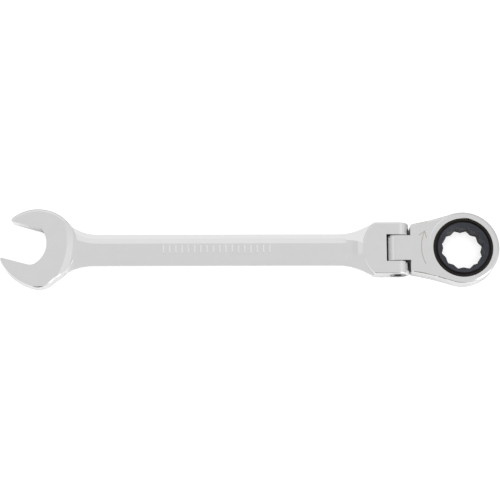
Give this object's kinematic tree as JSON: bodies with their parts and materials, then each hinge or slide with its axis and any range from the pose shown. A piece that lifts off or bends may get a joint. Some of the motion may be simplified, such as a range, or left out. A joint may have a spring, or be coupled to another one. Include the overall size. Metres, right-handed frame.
{
  "type": "ratchet wrench",
  "caption": "Flex-head ratcheting combination wrench: offset open jaw at one end, hinged twelve-point ratchet ring at the other.",
  "frame": {"origin": "turning axis of the drive socket, halfway through the thickness of the ratchet head", "axes": "+Z out of the socket's upper face, the one with the snap ring; -X along the handle to the open jaw; the hinge axis is parallel to Y"},
  "size_m": [0.2481, 0.0402, 0.0116],
  "materials": {
    "satin_chrome": "satin",
    "dark_gear_steel": "dark phosphate",
    "black_oxide": "satin black",
    "spring_steel": "bright",
    "plated_screw": "polished"
  },
  "bodies": {
    "handle": {"handle": "satin_chrome", "hinge_screw": "plated_screw", "near_hinge_washer": "spring_steel", "far_hinge_washer": "spring_steel"},
    "head": {"ratchet_head": "satin_chrome", "cover_washer": "black_oxide", "snap_ring": "black_oxide", "pawl_spring": "spring_steel"},
    "gear": {"ratchet_gear": "dark_gear_steel"},
    "pawl": {"pawl": "dark_gear_steel"}
  },
  "joints": [
    {"name": "head_flex", "type": "hinge", "parent": "handle", "child": "head", "pos_m": [-0.0323, 0, 0], "axis": [0, -1, 0], "range_deg": [-90, 90]},
    {"name": "gear_spin", "type": "hinge", "parent": "head", "child": "gear", "pos_m": [0, 0, 0], "axis": [0, 0, 1], "continuous": true},
    {"name": "pawl_slide", "type": "slide", "parent": "head", "child": "pawl", "axis": [-1, 0, 0], "range_m": [0, 0.00075], "stiffness_N_per_m": 300, "springref_m": -0.003, "deforming": ["pawl_spring"]}
  ]
}
